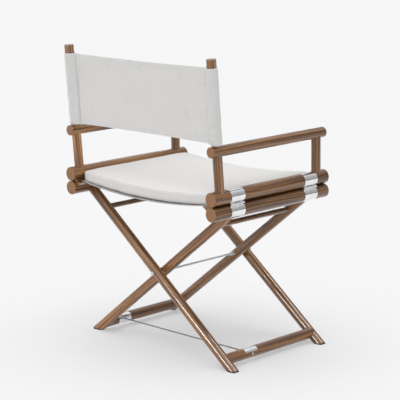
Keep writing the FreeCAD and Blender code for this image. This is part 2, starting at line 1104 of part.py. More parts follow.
# the edges meet the battens with a bevel: the lower corners are trimmed
trims = []
for side, sign in SIDES:
    trims.append(
        box(
            "seat_pad_trim_%s" % side,
            "32",
            "seat_length + 20",
            "30",
            "seat_halfwidth - 22" if sign > 0 else "-1 * seat_halfwidth - 10",
            "seat_start - 10",
            "seat_edge_height - 35.6 - 30",
        )
    )
node("seat_pad", cut("seat_pad", pad, *trims))

sleeves = []
for side, sign in SIDES:
    sleeves.append(
        cut(
            "sleeve_%s" % side,
            raked_cylinder(
                "sleeve_%s_o" % side, "sleeve_outer", sign, "back_low", "back_high"
            ),
            raked_cylinder(
                "sleeve_%s_i" % side,
                "sleeve_inner",
                sign,
                "back_low - 20",
                "back_high + 20",
            ),
        )
    )
panel = box(
    "back_panel",
    "2 * rail_spread - 2 * sleeve_inner - 2",
    "back_thickness",
    "( back_high - back_low ) / %.9f" % cos(radians(rake)),
    "-1 * rail_spread + sleeve_inner + 1",
    "rear_post_low + ( back_low - upper_rail_height ) * %s - back_thickness / 2" % rake_slope,
    "back_low",
    RAKED,
)
node("back_canvas", fuse("back_canvas", panel, *sleeves))

# --- checks and export ----------------------------------------------------------
doc.recompute()
bad = []
for obj in doc.Objects:
    if "Invalid" in obj.State or "Error" in obj.State:
        bad.append(obj.Name + " " + str(obj.State))
for obj in nodes:
    shape = obj.Shape
    if shape.isNull() or not shape.isValid() or not shape.Solids or shape.Volume <= 0:
        bad.append(obj.Label + " has no valid solid")
if bad:
    print("\n".join(bad))
    sys.exit(1)

os.makedirs("parts", exist_ok=True)
box_all = FreeCAD.BoundBox()
for obj in nodes:
    obj.Shape.exportStep(os.path.join("parts", obj.Label + ".step"))
    box_all.add(obj.Shape.BoundBox)
    b = obj.Shape.BoundBox
    print(
        "%-26s solids %d  volume %9.0f  x %7.1f %7.1f  y %7.1f %7.1f  z %6.1f %6.1f"
        % (
            obj.Label,
            len(obj.Shape.Solids),
            obj.Shape.Volume,
            b.XMin,
            b.XMax,
            b.YMin,
            b.YMax,
            b.ZMin,
            b.ZMax,
        )
    )
print("nodes", len(nodes))
print(
    "box x %.2f %.2f  y %.2f %.2f  z %.2f %.2f"
    % (box_all.XMin, box_all.XMax, box_all.YMin, box_all.YMax, box_all.ZMin, box_all.ZMax)
)
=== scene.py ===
import bpy
import bmesh
import math
import numpy as np
from mathutils import Vector, Matrix, noise


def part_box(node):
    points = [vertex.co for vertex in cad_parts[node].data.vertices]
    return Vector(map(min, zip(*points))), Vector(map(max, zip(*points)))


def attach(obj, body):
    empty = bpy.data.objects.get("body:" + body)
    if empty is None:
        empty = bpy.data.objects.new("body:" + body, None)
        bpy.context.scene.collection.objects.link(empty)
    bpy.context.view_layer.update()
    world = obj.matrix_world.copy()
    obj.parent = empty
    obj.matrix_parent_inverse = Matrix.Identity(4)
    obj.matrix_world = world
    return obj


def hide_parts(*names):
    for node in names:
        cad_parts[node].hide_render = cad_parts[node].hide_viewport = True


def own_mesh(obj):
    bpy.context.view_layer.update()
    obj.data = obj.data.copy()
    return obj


# Looks of the folding director's chair, in metres, in the CAD's frame:
# +Z up, the chair faces -Y, +X is the sitter's left.

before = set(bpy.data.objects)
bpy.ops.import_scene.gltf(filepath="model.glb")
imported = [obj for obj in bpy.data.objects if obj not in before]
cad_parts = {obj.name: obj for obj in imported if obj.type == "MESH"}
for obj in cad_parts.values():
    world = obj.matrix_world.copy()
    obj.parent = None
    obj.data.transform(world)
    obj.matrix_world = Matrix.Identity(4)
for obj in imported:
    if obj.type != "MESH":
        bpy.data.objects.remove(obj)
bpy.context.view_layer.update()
scene = bpy.context.scene
scene.view_settings.view_transform = "Standard"
scene.view_settings.look = "None"

# ------------------------------------------------------------------ camera
fwd = Vector((0.6961, -0.6886, -0.2031)).normalized()
right0 = fwd.cross(Vector((0, 0, 1))).normalized()
up0 = right0.cross(fwd)
roll = math.radians(-0.815)
right = right0 * math.cos(roll) + up0 * math.sin(roll)
up = up0 * math.cos(roll) - right0 * math.sin(roll)
cam_data = bpy.data.cameras.new("camera")
cam_data.sensor_width = 36.0
cam_data.lens = 1601.15 * 36.0 / 400.0
cam_data.clip_end = 200.0
cam = bpy.data.objects.new("camera", cam_data)
scene.collection.objects.link(cam)
cam.matrix_world = Matrix(
    (
        (right.x, up.x, -fwd.x, -3.2100),
        (right.y, up.y, -fwd.y, 3.1579),
        (right.z, up.z, -fwd.z, 1.3473),
        (0, 0, 0, 1),
    )
)
scene.camera = cam


# ------------------------------------------------------------- node helpers
class Graph:
    """A material's node tree, with short calls for the nodes used here."""

    def __init__(self, name):
        self.mat = bpy.data.materials.new(name)
        self.mat.use_nodes = True
        self.nt = self.mat.node_tree
        self.nt.nodes.clear()
        self.out = self.nt.nodes.new("ShaderNodeOutputMaterial")
        self.bsdf = self.nt.nodes.new("ShaderNodeBsdfPrincipled")
        self.nt.links.new(self.bsdf.outputs["BSDF"], self.out.inputs["Surface"])
        self.coord = self.nt.nodes.new("ShaderNodeTexCoord")

    def put(self, socket, value):
        if isinstance(value, bpy.types.NodeSocket):
            self.nt.links.new(value, socket)
        else:
            socket.default_value = value

    def math(self, op, a, b=None, c=None, clamp=False):
        n = self.nt.nodes.new("ShaderNodeMath")
        n.operation = op
        n.use_clamp = clamp
        for socket, value in zip(n.inputs, (a, b, c)):
            if value is not None:
                self.put(socket, value)
        return n.outputs[0]

    def vec(self, op, a, b=None):
        n = self.nt.nodes.new("ShaderNodeVectorMath")
        n.operation = op
        self.put(n.inputs[0], a)
        if b is not None:
            self.put(n.inputs[1], b)
        return n.outputs["Value"] if op in ("DOT_PRODUCT", "LENGTH") else n.outputs[0]

    def split(self, v):
        n = self.nt.nodes.new("ShaderNodeSeparateXYZ")
        self.put(n.inputs[0], v)
        return n.outputs

    def join(self, x, y, z):
        n = self.nt.nodes.new("ShaderNodeCombineXYZ")
        for socket, value in zip(n.inputs, (x, y, z)):
            self.put(socket, value)
        return n.outputs[0]

    def noise(self, v, scale=5.0, detail=2.0, rough=0.5, distortion=0.0):
        n = self.nt.nodes.new("ShaderNodeTexNoise")
        self.put(n.inputs["Vector"], v)
        n.inputs["Scale"].default_value = scale
        n.inputs["Detail"].default_value = detail
        n.inputs["Roughness"].default_value = rough
        n.inputs["Distortion"].default_value = distortion
        return n.outputs[0]

    def spread(self, value, a, b, c=0.0, d=1.0):
        n = self.nt.nodes.new("ShaderNodeMapRange")
        n.interpolation_type = "SMOOTHSTEP"
        self.put(n.inputs[0], value)
        for i, x in enumerate((a, b, c, d), start=1):
            n.inputs[i].default_value = x
        return n.outputs[0]

    def ramp(self, value, stops):
        n = self.nt.nodes.new("ShaderNodeValToRGB")
        self.put(n.inputs[0], value)
        e = n.color_ramp.elements
        while len(e) < len(stops):
            e.new(0.5)
        for item, (at, colour) in zip(e, stops):
            item.position = at
            item.color = (*colour, 1.0)
        return n.outputs[0]

    def mix(self, factor, a, b, kind="MIX"):
        n = self.nt.nodes.new("ShaderNodeMix")
        n.data_type = "RGBA"
        n.blend_type = kind
        self.put(n.inputs[0], factor)
        for socket, value in ((n.inputs[6], a), (n.inputs[7], b)):
            if isinstance(value, tuple):
                value = (*value, 1.0)
            self.put(socket, value)
        return n.outputs[2]

    def bump(self, height, distance, strength=1.0, under=None):
        n = self.nt.nodes.new("ShaderNodeBump")
        n.inputs["Strength"].default_value = strength
        n.inputs["Distance"].default_value = distance
        self.put(n.inputs["Height"], height)
        if under is not None:
            self.put(n.inputs["Normal"], under)
        return n.outputs[0]

    def turned(self, axis, line, radius):
        """The exact normal of a turned piece of this radius about this line,
        and the mesh's own normal wherever the surface is something else."""
        a = tuple(Vector(axis).normalized())
        off = self.vec("SUBTRACT", self.coord.outputs["Object"], tuple(line))
        n = self.nt.nodes.new("ShaderNodeVectorMath")
        n.operation = "SCALE"
        n.inputs[0].default_value = a
        self.put(n.inputs["Scale"], self.vec("DOT_PRODUCT", off, a))
        out = self.vec("SUBTRACT", off, n.outputs[0])
        gap = self.math("ABSOLUTE", self.math("SUBTRACT", self.vec("LENGTH", out), radius))
        out = self.vec("NORMALIZE", out)
        own = self.coord.outputs["Normal"]
        same = self.math("GREATER_THAN", self.vec("DOT_PRODUCT", out, own), 0.95)
        mask = self.math("MULTIPLY", same, self.math("LESS_THAN", gap, 0.0004))
        m = self.nt.nodes.new("ShaderNodeMix")
        m.data_type = "VECTOR"
        self.put(m.inputs[0], mask)
        self.put(m.inputs[4], own)
        self.put(m.inputs[5], out)
        t = self.nt.nodes.new("ShaderNodeVectorTransform")
        t.vector_type = "NORMAL"
        t.convert_from = "OBJECT"
        t.convert_to = "WORLD"
        self.put(t.inputs[0], m.outputs[1])
        return t.outputs[0]

    def set(self, **values):
        for key, value in values.items():
            self.put(self.bsdf.inputs[key.replace("_", " ")], value)


# ---------------------------------------------------------------- materials
RAKE = math.atan2(0.0264, 0.3735)
TILT = math.radians(52.15)


def walnut(name, axis, centre, seed, tone_and_painted_light=1.0, line=None, radius=0.0):
    """Oiled walnut whose grain runs along axis. The rings are arcs round a
    pith line beside the piece, so the ends show end grain."""
    g = Graph(name)
    a = Vector(axis).normalized()
    side = a.cross(Vector((0, 0, 1)) if abs(a.z) < 0.9 else Vector((0, 1, 0))).normalized()
    third = a.cross(side)
    turn = seed * 2.399
    b = side * math.cos(turn) + third * math.sin(turn)
    c = a.cross(b)
    m = Matrix((a, b, c))
    place = g.nt.nodes.new("ShaderNodeMapping")
    place.inputs["Rotation"].default_value = m.to_euler()
    moved = m @ Vector(centre)
    place.inputs["Location"].default_value = (-moved.x + seed * 0.73, -moved.y, -moved.z)
    g.put(place.inputs["Vector"], g.coord.outputs["Object"])
    u, v, w = g.split(place.outputs[0])
    # long slow waver of the grain
    slow = g.noise(g.join(g.math("MULTIPLY", u, 2.2), g.math("MULTIPLY", v, 9.0), g.math("MULTIPLY", w, 9.0)), 1.0, 2.0)
    waver = g.math("MULTIPLY_ADD", slow, 0.022, -0.011)
    away = 0.034 + 0.012 * math.sin(seed * 5.1)
    v2 = g.math("ADD", g.math("ADD", v, away), waver)
    w2 = g.math("ADD", w, g.math("MULTIPLY", waver, 0.6))
    radius = g.math("SQRT", g.math("ADD", g.math("MULTIPLY", v2, v2), g.math("MULTIPLY", w2, w2)))
    rings = g.math("FRACT", g.math("MULTIPLY", radius, 1.0 / 0.0058))
    late = g.math("MULTIPLY", g.spread(rings, 0.25, 0.92), g.spread(rings, 1.0, 0.93))
    # fine streaks and open pores along the grain
    fine = g.noise(g.join(g.math("MULTIPLY", u, 5.0), g.math("MULTIPLY", v, 260.0), g.math("MULTIPLY", w, 260.0)), 1.0, 3.0, 0.65)
    streak = g.noise(g.join(g.math("MULTIPLY", u, 3.0), g.math("MULTIPLY", v, 85.0), g.math("MULTIPLY", w, 85.0)), 1.0, 2.0, 0.6)
    pore = g.noise(g.join(g.math("MULTIPLY", u, 55.0), g.math("MULTIPLY", v, 900.0), g.math("MULTIPLY", w, 900.0)), 1.0, 1.0)
    pores = g.spread(pore, 0.60, 0.72)
    value = g.math("MULTIPLY", late, 0.34)
    value = g.math("ADD", value, g.math("MULTIPLY", g.spread(streak, 0.32, 0.70), 0.36))
    value = g.math("ADD", value, g.math("MULTIPLY", g.spread(fine, 0.30, 0.72), 0.22))
    value = g.math("ADD", value, g.math("MULTIPLY", g.spread(slow, 0.3, 0.7), 0.16))
    light, mid, dark, deep = (0.410, 0.198, 0.064), (0.250, 0.108, 0.030), (0.120, 0.046, 0.012), (0.036, 0.014, 0.004)
    # the tone scales the whole grain ramp: the board's own tone together with painted light and shade for that stick
    t = tone_and_painted_light
    colour = g.ramp(
        value,
        [(0.14, tuple(x * t for x in light)), (0.42, tuple(x * t for x in mid)), (0.68, tuple(x * t for x in dark)), (0.95, tuple(x * t for x in deep))],
    )
    colour = g.mix(g.math("MULTIPLY", pores, 0.45), colour, tuple(x * 0.8 for x in deep))
    # end grain: paler, with the rings close together and a darker rim of oil
    facing = g.math("ABSOLUTE", g.vec("DOT_PRODUCT", g.coord.outputs["Normal"], tuple(a)))
    end = g.spread(facing, 0.72, 0.93)
    end_value = g.math("ADD", g.math("MULTIPLY", late, 0.5), g.math("MULTIPLY", g.noise(g.join(u, g.math("MULTIPLY", v, 700.0), g.math("MULTIPLY", w, 700.0)), 1.0, 2.0), 0.6))
    end_colour = g.ramp(end_value, [(0.15, (0.375, 0.165, 0.042)), (0.55, (0.270, 0.112, 0.026)), (0.95, (0.120, 0.047, 0.012))])
    colour = g.mix(end, colour, end_colour)
    rim = g.math("MULTIPLY", g.spread(facing, 0.25, 0.6), g.spread(facing, 0.95, 0.7))
    colour = g.mix(g.math("MULTIPLY", rim, 0.5), colour, dark)
    g.set(Base_Color=colour)
    g.set(Roughness=g.math("ADD", g.math("MULTIPLY_ADD", fine, 0.16, 0.26), g.math("MULTIPLY", end, 0.2)))
    g.set(Coat_Weight=1.0, Coat_Roughness=0.12, Coat_IOR=1.5, Specular_IOR_Level=0.20)
    h = g.math("SUBTRACT", g.math("MULTIPLY", fine, 0.5), pores)
    smooth_normal = None
    if line is not None:
        smooth_normal = g.turned(axis, line, radius)
        g.set(Coat_Normal=smooth_normal)
    g.set(Normal=g.bump(h, 0.00012, 0.55, under=smooth_normal))
    return g.mat


def chrome(name, line, radius):
    """Polished plate with very fine turning marks and a little handling wear."""
    g = Graph(name)
    x, y, z = g.split(g.coord.outputs["Object"])
    lines = g.noise(g.join(g.math("MULTIPLY", x, 6.0), g.math("MULTIPLY", y, 2600.0), g.math("MULTIPLY", z, 6.0)), 1.0, 2.0)
    smear = g.noise(g.coord.outputs["Object"], 55.0, 4.0, 0.6, 0.4)
    g.set(Base_Color=g.mix(g.spread(smear, 0.35, 0.75), (0.90, 0.905, 0.91), (0.80, 0.805, 0.815)))
    g.set(Metallic=1.0)
    g.set(Roughness=g.math("MULTIPLY_ADD", g.spread(smear, 0.4, 0.8), 0.05, g.math("MULTIPLY_ADD", lines, 0.04, 0.05)))
    g.set(Normal=g.turned((0, 1, 0), line, radius))
    return g.mat


def steel(name):
    """Brushed stainless steel."""
    g = Graph(name)
    x, y, z = g.split(g.coord.outputs["Object"])
    lines = g.noise(g.join(g.math("MULTIPLY", x, 1400.0), g.math("MULTIPLY", y, 30.0), g.math("MULTIPLY", z, 1400.0)), 1.0, 3.0)
    smear = g.noise(g.coord.outputs["Object"], 40.0, 3.0)
    g.set(Base_Color=g.mix(smear, (0.74, 0.745, 0.755), (0.60, 0.605, 0.615)))
    g.set(Metallic=1.0)
    g.set(Roughness=g.math("MULTIPLY_ADD", lines, 0.2, 0.2))
    g.set(Normal=g.bump(lines, 0.00003, 0.5))
    return g.mat


def wire_rope(name):
    """Stainless wire: each strand is itself laid from fine wires."""
    g = Graph(name)
    x, y, z = g.split(g.coord.outputs["Object"])
    fine = g.noise(g.join(g.math("MULTIPLY", x, 500.0), g.math("MULTIPLY", y, 2400.0), g.math("MULTIPLY", z, 2400.0)), 1.0, 2.0)
    g.set(Base_Color=g.mix(fine, (0.20, 0.20, 0.21), (0.36, 0.365, 0.375)))
    g.set(Metallic=1.0, Roughness=g.math("MULTIPLY_ADD", fine, 0.2, 0.3))
    g.set(Normal=g.bump(fine, 0.00006, 0.6))
    return g.mat


def rubber(name):
    g = Graph(name)
    grit = g.noise(g.coord.outputs["Object"], 900.0, 3.0)
    dust = g.noise(g.coord.outputs["Object"], 60.0, 4.0)
    g.set(Base_Color=g.mix(g.spread(dust, 0.5, 0.8), (0.020, 0.018, 0.017), (0.055, 0.050, 0.046)))
    g.set(Roughness=g.math("MULTIPLY_ADD", grit, 0.2, 0.65))
    g.set(Normal=g.bump(grit, 0.0001, 0.6))
    return g.mat


def cloth(name, colour, pitch=0.00105, depth=0.00020, slub=1.0):
    """Plain-woven canvas. The weave is laid on the piece from three sides, by
    its own surface direction, so it needs no UVs."""
    g = Graph(name)
    wobble = g.noise(g.coord.outputs["Object"], 45.0, 2.0)
    x, y, z = g.split(g.coord.outputs["Object"])
    shift = g.math("MULTIPLY_ADD", wobble, 0.0016, -0.0008)
    k = 2 * math.pi / pitch
    waves = [g.math("SINE", g.math("MULTIPLY", g.math("ADD", s, shift), k)) for s in (x, y, z)]
    over = {
        0: g.math("MULTIPLY", waves[1], waves[2]),
        1: g.math("MULTIPLY", waves[0], waves[2]),
        2: g.math("MULTIPLY", waves[0], waves[1]),
    }
    n = g.split(g.vec("ABSOLUTE", g.coord.outputs["Normal"]))
    weights = [g.math("POWER", s, 6.0) for s in n]
    total = g.math("ADD", g.math("ADD", weights[0], weights[1]), g.math("ADD", weights[2], 0.0001))
    h = None
    for i in range(3):
        part = g.math("MULTIPLY", over[i], g.math("DIVIDE", weights[i], total))
        h = part if h is None else g.math("ADD", h, part)
    # thicker yarns here and there, along both directions, and soft patches
    yarn_a = g.noise(g.join(g.math("MULTIPLY", x, 14.0), g.math("MULTIPLY", y, 620.0), g.math("MULTIPLY", z, 620.0)), 1.0, 1.0)
    yarn_b = g.noise(g.join(g.math("MULTIPLY", x, 620.0), g.math("MULTIPLY", y, 14.0), g.math("MULTIPLY", z, 14.0)), 1.0, 1.0)
    patch = g.noise(g.coord.outputs["Object"], 9.0, 3.0, 0.55)
    yarns = g.math("MULTIPLY_ADD", g.math("ADD", yarn_a, yarn_b), 0.5, -0.5)
    shade = g.math("MULTIPLY_ADD", h, 0.035, 1.0)
    shade = g.math("ADD", shade, g.math("MULTIPLY", yarns, 0.13 * slub))
    shade = g.math("ADD", shade, g.math("MULTIPLY_ADD", patch, 0.05, -0.025))
    g.set(Base_Color=g.mix(1.0, colour, g.join(shade, shade, shade), "MULTIPLY"))
    g.set(Roughness=g.math("MULTIPLY_ADD", h, -0.05, 0.86))
    g.set(Sheen_Weight=0.12, Sheen_Roughness=0.5, Specular_IOR_Level=0.3)
    height = g.math("ADD", h, g.math("MULTIPLY", yarns, 1.6 * slub))
    crumple = g.noise(g.coord.outputs["Object"], 38.0, 3.0, 0.55)
    g.set(Normal=g.bump(height, depth, 0.6, under=g.bump(crumple, 0.0008, 0.35)))
    return g.mat


def thread(name, colour):
    g = Graph(name)
    twist = g.noise(g.coord.outputs["Object"], 2600.0, 2.0)
    g.set(Base_Color=g.mix(twist, tuple(c * 0.9 for c in colour), colour))
    g.set(Roughness=g.math("MULTIPLY_ADD", twist, 0.2, 0.6))
    g.set(Normal=g.bump(twist, 0.00006, 0.6))
    return g.mat


def middle(name):
    low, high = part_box(name)
    return (low + high) / 2


def round_of(obj, axis):
    """A point on the centre line, and the radius, of a round piece: every
    facet's middle is the centre line plus the radius along its normal."""
    a = Vector(axis).normalized()
    b = a.orthogonal().normalized()
    c = a.cross(b)
    rows = np.array(
        [
            (f.center.dot(b), f.center.dot(c), f.normal.dot(b), f.normal.dot(c), f.area)
            for f in obj.data.polygons
            if abs(f.normal.dot(a)) < 0.02
        ]
    )
    weight = rows[:, 4].copy()
    zero, one = np.zeros(len(rows)), np.ones(len(rows))
    left = np.concatenate([np.stack([one, zero, rows[:, 2]], 1), np.stack([zero, one, rows[:, 3]], 1)])
    right = np.concatenate([rows[:, 0], rows[:, 1]])
    for _ in range(12):
        w = np.sqrt(np.concatenate([weight, weight]))
        x = np.linalg.lstsq(left * w[:, None], right * w, rcond=None)[0]
        miss = left @ x - right
        miss = np.hypot(miss[: len(rows)], miss[len(rows) :])
        weight = rows[:, 4] / (1.0 + (miss / 0.0002) ** 2) ** 2
    return b * x[0] + c * x[1], float(x[2])


AXES = {
    "rail": (0, 1, 0), "arm": (0, 1, 0), "cross_bar": (0, 1, 0), "stretcher": (0, 1, 0), "seat_batten": (0, 1, 0),
    "front_post": (0, 0, 1),
    "rear_post": (0, math.sin(RAKE), math.cos(RAKE)), "back_post": (0, math.sin(RAKE), math.cos(RAKE)),
}
SHELL = {"hinge": 0.02005, "saddle": 0.0155}
# walnut differs from board to board, and these tones also paint light and shade: how light each stick is beside the
# next; the lower rail, the front post and the stretchers are darkened as painted shade and the left rear and back posts
# are lightened as painted light
BOARD_TONE_AND_PAINTED_LIGHT = {
    "lower_rail_right": 0.66, "upper_rail_right": 0.84, "arm_right": 0.86, "front_post_right": 0.72,
    "rear_post_right": 0.98, "back_post_right": 0.98, "rear_post_left": 1.55, "back_post_left": 1.35,
    "leg_rear_inner": 1.32, "leg_rear_outer": 1.12, "leg_front_outer": 0.95, "leg_front_inner": 0.95,
    "stretcher_right": 0.88, "stretcher_left": 0.70, "cross_bar_right": 0.85,
}
STEEL = steel("brushed_steel")
ROPE = wire_rope("cable_strands")
RUBBER = rubber("foot_rubber")
seed = 0
for node, obj in sorted(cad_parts.items()):
    made = None
    if node.startswith("leg_"):
        lean = 1 if node.endswith("outer") else -1
        axis = (lean * math.sin(TILT), 0, math.cos(TILT))
    else:
        axis = next((a for key, a in AXES.items() if key in node and "hinge" not in node), None)
    if node.startswith(("hinge_upper", "hinge_lower", "saddle")):
        side = node.rsplit("_", 1)[1]
        under = {"hinge_upper": "upper_rail_", "hinge_lower": "lower_rail_", "saddle": "stretcher_"}
        wood = next(value for key, value in under.items() if node.startswith(key)) + side
        line, radius = round_of(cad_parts[wood], (0, 1, 0))
        made = chrome("chrome_" + node, line, SHELL[node.split("_")[0]])
    elif node == "cross_cable":
        made = ROPE
    elif node.startswith(("hinge_pins", "pivot", "cable_stop")):
        made = STEEL
    elif node.startswith("foot"):
        made = RUBBER
    elif axis is not None:
        seed += 1
        line, radius = round_of(obj, axis)
        made = walnut("walnut_" + node, axis, middle(node), seed, BOARD_TONE_AND_PAINTED_LIGHT.get(node, 1.0), line, radius)
    if made is not None:
        obj.data.materials.clear()
        obj.data.materials.append(made)

CANVAS = cloth("back_cloth", (0.785, 0.775, 0.755))
SEAT_CLOTH = cloth("seat_cloth_weave", (0.785, 0.775, 0.755))
# the sling's darker grey is painted shade: it stands for the shade line under the seat pad's rear edge
SLING_PAINTED_SHADE = cloth("sling_cloth", (0.46, 0.445, 0.425), pitch=0.0016)
THREAD = thread("sewing_thread", (0.75, 0.745, 0.73))


# ------------------------------------------------------------ mesh helpers
def mesh_object(name, verts, faces, material, smooth=True):
    me = bpy.data.meshes.new(name)
    me.from_pydata([tuple(float(c) for c in v) for v in verts], [], faces)
    me.validate()
    me.update()
    if smooth:
        me.polygons.foreach_set("use_smooth", [True] * len(me.polygons))
    me.materials.append(material)
    o = bpy.data.objects.new(name, me)
    scene.collection.objects.link(o)
    return o


def loft(name, rings, material, closed_ring=True, caps=True):
    """A tube or closed body through rings of points, all of one length."""
    n = len(rings[0])
    verts = [p for ring in rings for p in ring]
    faces = []
    for i in range(len(rings) - 1):
        for j in range(n if closed_ring else n - 1):
            k = (j + 1) % n
            faces.append((i * n + j, i * n + k, (i + 1) * n + k, (i + 1) * n + j))
    if caps:
        faces.append(tuple(range(n - 1, -1, -1)))
        faces.append(tuple((len(rings) - 1) * n + j for j in range(n)))
    return mesh_object(name, verts, faces, material)


def stitches(name, lines, body, pitch=0.0042, length=0.0029, radius=0.00038, lift=0.0001):
    """Rows of single stitches, each a small bowed thread between two holes.
    lines is a list of (points, normals), evenly spaced along the seam."""
    verts, faces = [], []
    sides, steps = 6, 5
    for points, normals in lines:
        points = [Vector(p) for p in points]
        normals = [Vector(n) for n in normals]
        far = [0.0]
        for a, b in zip(points, points[1:]):
            far.append(far[-1] + (b - a).length)
        far = np.array(far)
        pa = np.array([tuple(p) for p in points])
        na = np.array([tuple(p) for p in normals])

        def at(s):
            return (
                Vector([float(np.interp(s, far, pa[:, i])) for i in range(3)]),
                Vector([float(np.interp(s, far, na[:, i])) for i in range(3)]).normalized(),
            )

        s = pitch * 0.5
        while s + length < far[-1]:
            first = len(verts)
            for k in range(steps + 1):
                t = k / steps
                p, n = at(s + length * t)
                q, _ = at(s + length * t + 0.0003)
                d = (q - p).normalized()
                side = d.cross(n).normalized()
                bow = math.sin(math.pi * t)
                c = p + n * (lift + radius * (bow * 1.3 - 0.5))
                r = radius * (0.55 + 0.45 * bow)
                for j in range(sides):
                    a = 2 * math.pi * j / sides
                    verts.append(c + side * (r * math.cos(a)) + n * (r * math.sin(a)))
            for k in range(steps):
                for j in range(sides):
                    m = (j + 1) % sides
                    faces.append((first + k * sides + j, first + k * sides + m, first + (k + 1) * sides + m, first + (k + 1) * sides + j))
            faces.append(tuple(first + j for j in range(sides - 1, -1, -1)))
            faces.append(tuple(first + steps * sides + j for j in range(sides)))
            s += pitch
    o = mesh_object(name, verts, faces, THREAD)
    return o


# -------------------------------------------------------------- canvas back
A = Vector((0, math.sin(RAKE), math.cos(RAKE)))      # up along the rear posts
N = Vector((0, math.cos(RAKE), -math.sin(RAKE)))     # out of the back's rear face
POST_X = 0.285


def post(z):
    """The rear post's axis in the YZ plane at height z."""
    return Vector((0, 0.190 + (z - 0.4865) * 0.0264 / 0.3735, z))


BACK_LOW, BACK_HIGH = 0.631, 0.837
SEAM = POST_X - 0.0225          # x of the sewn line beside each sleeve
LAYER = 0.0011


def smooth(t):
    t = min(1.0, max(0.0, t))
    return t * t * (3 - 2 * t)


# short slanting creases: x, t, run across, run up (metres), depth
CREASES = [
    (0.133, 0.945, -0.013, -0.016, 0.0009), (0.128, 0.925, -0.010, -0.017, 0.0006),
    (0.010, 0.950, -0.020, -0.024, 0.0008), (-0.004, 0.930, -0.014, -0.020, 0.0006),
    (-0.147, 0.950, -0.016, -0.022, 0.0010), (-0.160, 0.930, -0.018, -0.024, 0.0007),
    (0.193, 0.720, -0.014, -0.019, 0.0008), (-0.170, 0.420, -0.018, -0.022, 0.0007),
    (-0.100, 0.660, -0.014, -0.016, 0.0004), (0.070, 0.520, -0.016, -0.016, 0.0004),
    (-0.210, 0.150, -0.014, -0.020, 0.0006), (0.215, 0.330, -0.012, -0.018, 0.0004),
    (0.255, 0.860, -0.020, -0.004, 0.0008), (0.255, 0.790, -0.016, -0.003, 0.0007),
    (0.255, 0.700, -0.014, -0.003, 0.0005), (-0.252, 0.800, 0.014, -0.004, 0.0006),
]


def creased(x, t):
    out = 0.0
    for cx, ct, dx, dz, depth in CREASES:
        px, pz = x - cx, (t - ct) * 0.206
        if abs(px) > 0.04 or abs(pz) > 0.04:
            continue
        long = math.hypot(dx, dz)
        along = (px * dx + pz * dz) / long
        off = (px * dz - pz * dx) / long
        span = math.exp(-(((along - long / 2) / (long * 0.55)) ** 4))
        out += 3.0 * depth * span * (math.exp(-((off / 0.0022) ** 2)) - 0.6 * math.exp(-(((off - 0.0050) / 0.0028) ** 2)))
    return out


def fold(x, t):
    """How far the panel leaves its plane: shallow diagonal creases, puckers
    beside the seams and a soft unevenness."""
    p = Vector((x * 5.5 + t * 3.1, t * 2.2 - x * 1.1, 3.7))
    soft = noise.noise(p) * 0.0011
    q = Vector((x * 16 + t * 15, (t * 2.0 - x * 3.0), 9.1))
    ridge = abs(noise.noise(q))
    top = smooth((t - 0.45) / 0.45)
    crease = (0.12 - min(ridge, 0.12)) / 0.12 * 0.0006 * (0.25 + 0.75 * top)
    beside = math.exp(-((SEAM - abs(x)) / 0.022) ** 2)
    pucker = math.sin(t * 58 + 3 * noise.noise(Vector((t * 7, 1.5, 0.2)))) * 0.0005 * beside
    return soft + crease * 0.5 + pucker + creased(x, t)


def panel_point(x, t, side):
    z = BACK_LOW + 0.0028 + (BACK_HIGH - BACK_LOW - 0.0036) * t
    # the free edges draw in a little between the posts
    pull = 0.0022 * (1 - (x / SEAM) ** 2)
    z += pull * (1 - 2 * t) * (abs(1 - 2 * t) ** 6)
    p = post(z)
    return Vector((x, p.y, p.z)) + N * (side + fold(x, t))


cols, rows = 300, 104
X_END = SEAM + 0.006
half = 0.0011
verts, faces = [], []
# a closed sheet: a front and a rear face with a rounded rim, and a turned hem
# that is a little thicker along the top and bottom edges
rim = [(-1.0, 0.0), (-0.72, -0.00055), (0.0, -0.0008), (0.72, -0.00055), (1.0, 0.0)]


def hem(t):
    h = 0.0125 / 0.206
    step = max(smooth((h - t) / 0.006), smooth((t - (1 - h)) / 0.006))
    row = 0.0015 / 0.206
    sunk = math.exp(-((t - h + row) / 0.004) ** 2) + math.exp(-((t - 1 + h - row) / 0.004) ** 2)
    return 0.00035 * step - 0.00025 * sunk


ts = [i / rows for i in range(rows + 1)]
# finer rows near the hems
ts = sorted(set([round(t, 5) for t in ts] + [0.012, 0.045, 0.052, 0.058, 0.066, 0.988, 0.955, 0.948, 0.942, 0.934]))
loop_params = []
for t in ts:
    loop_params.append((t, 1.0))
for k in (0.72, 0.0, -0.72):
    loop_params.append((1.0, k))
for t in reversed(ts):
    loop_params.append((t, -1.0))
for k in (-0.72, 0.0, 0.72):
    loop_params.append((0.0, k))
rings = []
for i in range(cols + 1):
    x = -X_END + 2 * X_END * i / cols
    ring = []
    for t, k in loop_params:
        th = half + hem(t)
        p = panel_point(x, t, k * th)
        if abs(k) < 1:
            out = math.sqrt(1 - k * k) * half
            p = p + A * (out if t > 0.5 else -out)
        ring.append(p)
    rings.append(ring)
back_panel = loft("back_panel", rings, CANVAS)

